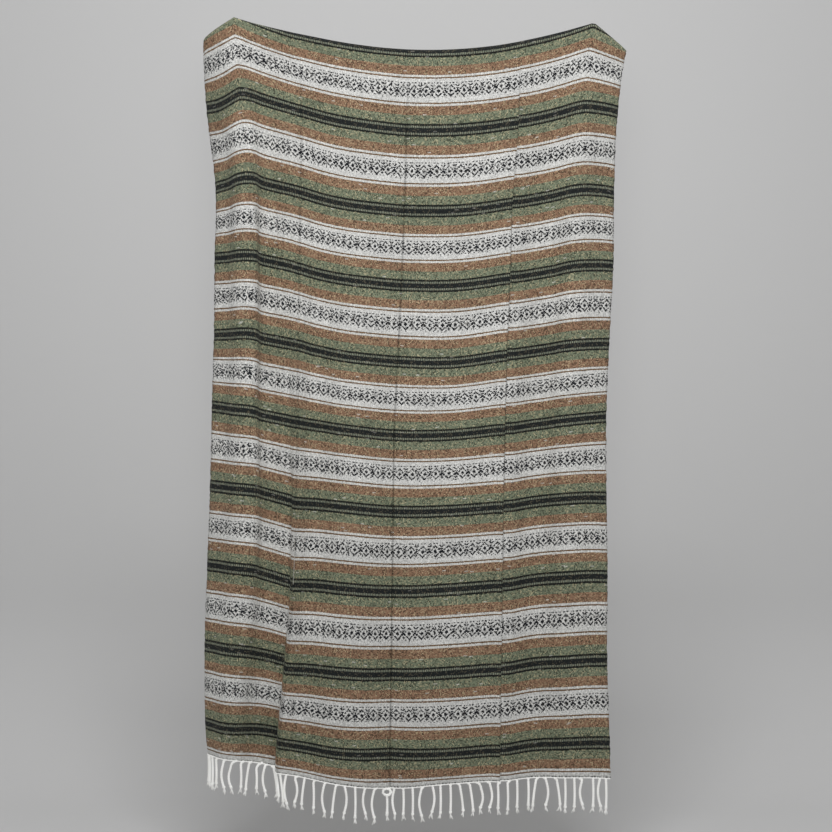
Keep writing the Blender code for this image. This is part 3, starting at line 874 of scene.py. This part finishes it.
def cord_path(root, style, length, hook):
    """The middle line of one cord, which may leave the header in a small arch or ring."""
    reach = HOOKS[hook]
    path = []
    if hook == "o":
        for step in range(RING_STEPS):
            turn = 2 * math.pi * RING_TURNS * step / RING_STEPS
            around = (RING_WIDENS * math.sin(turn), RING_LEAN * turn, math.cos(turn) - 1)
            path.append(root + RING_RADIUS * np.array(around))
    elif reach:
        for ring in range(HOOK_RINGS):
            turn = math.pi / 2 * ring / HOOK_RINGS
            arch = (reach * (1 - math.sin(turn)), 0.0, -abs(reach) * (1 - math.cos(turn)))
            path.append(root + np.array(arch))
    starts = 2 * RING_RADIUS if hook == "o" else abs(reach)
    for ring in range(CORD_RINGS + 1):
        part = ring / CORD_RINGS
        sideways = style.lean * part + style.bow * math.sin(math.pi * part)
        down = -starts - (length - starts) * part
        path.append(root + np.array((sideways, 0.0, down)))
    return path


def knotted(part):
    """How thick a cord is along its length: a knot holds the end."""
    return 1 + KNOT_THICKER * np.exp(-(((part - KNOT_AT) / KNOT_REACH) ** 2))


def thinning(part):
    """How thick a loose end is along its length."""
    return 1 - FRAY_THINS * part


def make_fringe(name, along, hangs, hooks, seed, material):
    """The cords of one fringe, with their frayed tips."""
    draw = random.Random(seed)
    fray = random.Random(seed + FRAY_SEED_STEP)
    at = hem_line(along, SEAM + HEADER_HEIGHT / 2)
    heap = Heap()
    for place, style, hook in zip(CORD_ROOTS, hangs, hooks):
        length = CORD_LENGTH + draw.uniform(-1, 1) * CORD_LENGTH_CHANGE - FRAY_LENGTH
        path = cord_path(at(place * MM), HANGS[style], length, hook)
        start = fray.uniform(0, TWIST_STARTS_BY)
        heap.add(twisted_cord(path, 2, CORD_PLY, CORD_LAY, CORD_TWIST, STRAND_SIDES, start, knotted))
        middle = fray.uniform(-FRAY_TURN, FRAY_TURN)
        for end in range(LOOSE_ENDS):
            aside = FRAY_SPREAD * (end - (LOOSE_ENDS - 1) / 2)
            lean = middle + aside + fray.uniform(-FRAY_UNEVEN, FRAY_UNEVEN)
            reach = FRAY_LENGTH * fray.uniform(FRAY_SHORTEST, FRAY_LONGEST)
            away = np.array((lean, fray.uniform(-FRAY_TURN, FRAY_TURN), -1.0))
            strand = [path[-1] + away * reach * step / FRAY_STEPS for step in range(-1, FRAY_STEPS + 1)]
            heap.add(twisted_cord(strand, 1, FRAY_THICK, FRAY_LAY, FRAY_TWIST, FRAY_SIDES, end, thinning))
    return mesh_of(name, heap.verts, heap.faces, material)


front_fringe = make_fringe(
    "front_fringe_cords", FRONT_HEM, FRONT_HANGS, FRONT_HOOKS, CORD_SEED, white_yarn
)
back_fringe = make_fringe(
    "back_fringe_cords", BACK_HEM, BACK_HANGS, BACK_HOOKS, CORD_SEED + 1, white_yarn
)
for thing in (front_header, back_header, front_fringe, back_fringe):
    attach(thing, "root")
for thing in (front_header, front_fringe):
    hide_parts("fringe_front")
for thing in (back_header, back_fringe):
    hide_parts("fringe_back")


# The studio. A seamless sheet of pale grey paper runs down behind the cloth and forward over the floor,
# under a soft box high in front, a wide glow from beside the camera and the light of the room.
FLOOR = -2.13
SWEEP_BACK = 1.25
SWEEP_RADIUS = 0.55
SWEEP_WIDE = 9.0
SWEEP_FRONT = -6.0
SWEEP_TOP = 4.0
SWEEP_STEPS = 12
PAPER = (214, 214, 214)
LIT_X = 0.45
KEY_PLACE = (LIT_X, -2.6, 3.4)
KEY_TARGET = (LIT_X, 0.0, -0.9)
KEY_SIZE = (2.0, 1.0)
KEY_POWER = 113
GLOW_PLACE = (LIT_X, -4.4, -0.46)
GLOW_ANGLE = 36
GLOW_SOFT_SIZE = 0.5
GLOW_POWER = 175
ROOM_LIGHT = 0.40


def make_sweep():
    """The paper backdrop, in one curve from wall to floor."""
    bend_starts = SWEEP_BACK - SWEEP_RADIUS
    profile = [(SWEEP_FRONT, FLOOR), (bend_starts, FLOOR)]
    for step in range(1, SWEEP_STEPS + 1):
        angle = math.pi / 2 * step / SWEEP_STEPS
        back = bend_starts + SWEEP_RADIUS * math.sin(angle)
        profile.append((back, FLOOR + SWEEP_RADIUS * (1 - math.cos(angle))))
    profile.append((SWEEP_BACK, SWEEP_TOP))
    verts = [(x, y, z) for y, z in profile for x in (-SWEEP_WIDE / 2, SWEEP_WIDE / 2)]
    faces = [(2 * k, 2 * k + 1, 2 * k + 3, 2 * k + 2) for k in range(len(profile) - 1)]
    paper = bpy.data.materials.new("pale grey paper")
    paper.use_nodes = True
    shader = paper.node_tree.nodes["Principled BSDF"]
    shader.inputs["Base Color"].default_value = linear(PAPER)
    shader.inputs["Roughness"].default_value = 0.95
    return mesh_of("paper_sweep", verts, faces, paper)


make_sweep()
key_data = bpy.data.lights.new("key high in front", "AREA")
key_data.shape = "RECTANGLE"
key_data.size, key_data.size_y = KEY_SIZE
key_data.energy = KEY_POWER
key = bpy.data.objects.new("key high in front", key_data)
key.location = KEY_PLACE
key.rotation_euler = (Vector(KEY_TARGET) - Vector(KEY_PLACE)).to_track_quat("-Z", "Y").to_euler()
bpy.context.scene.collection.objects.link(key)
glow_data = bpy.data.lights.new("glow from the camera", "SPOT")
glow_data.energy = GLOW_POWER
glow_data.spot_size = math.radians(GLOW_ANGLE)
glow_data.spot_blend = 1.0
glow_data.shadow_soft_size = GLOW_SOFT_SIZE
glow = bpy.data.objects.new("glow from the camera", glow_data)
glow.location = GLOW_PLACE
glow.rotation_euler = (math.pi / 2, 0.0, 0.0)
bpy.context.scene.collection.objects.link(glow)
world = bpy.data.worlds.new("soft room")
world.use_nodes = True
world.node_tree.nodes["Background"].inputs[0].default_value = (1.0, 1.0, 1.0, 1.0)
world.node_tree.nodes["Background"].inputs[1].default_value = ROOM_LIGHT
bpy.context.scene.world = world
bpy.context.scene.view_settings.view_transform = "Standard"

# The camera, level with the middle of the picture and square to the cloth
PIXELS_WIDE = 832
METRES_PER_PIXEL = 0.0025
LEFT_GRIP_PIXEL = (234, 18)
CAMERA_AWAY = 4.5
SENSOR_MM = 36
middle_x = (PIXELS_WIDE / 2 - LEFT_GRIP_PIXEL[0]) * METRES_PER_PIXEL
middle_z = -(PIXELS_WIDE / 2 - LEFT_GRIP_PIXEL[1]) * METRES_PER_PIXEL
camera_data = bpy.data.cameras.new("camera")
camera_data.sensor_width = SENSOR_MM
camera_data.lens = SENSOR_MM * CAMERA_AWAY / (PIXELS_WIDE * METRES_PER_PIXEL)
camera = bpy.data.objects.new("camera", camera_data)
camera.location = (middle_x, -CAMERA_AWAY, middle_z)
camera.rotation_euler = (math.pi / 2, 0, 0)
bpy.context.scene.collection.objects.link(camera)
bpy.context.scene.camera = camera
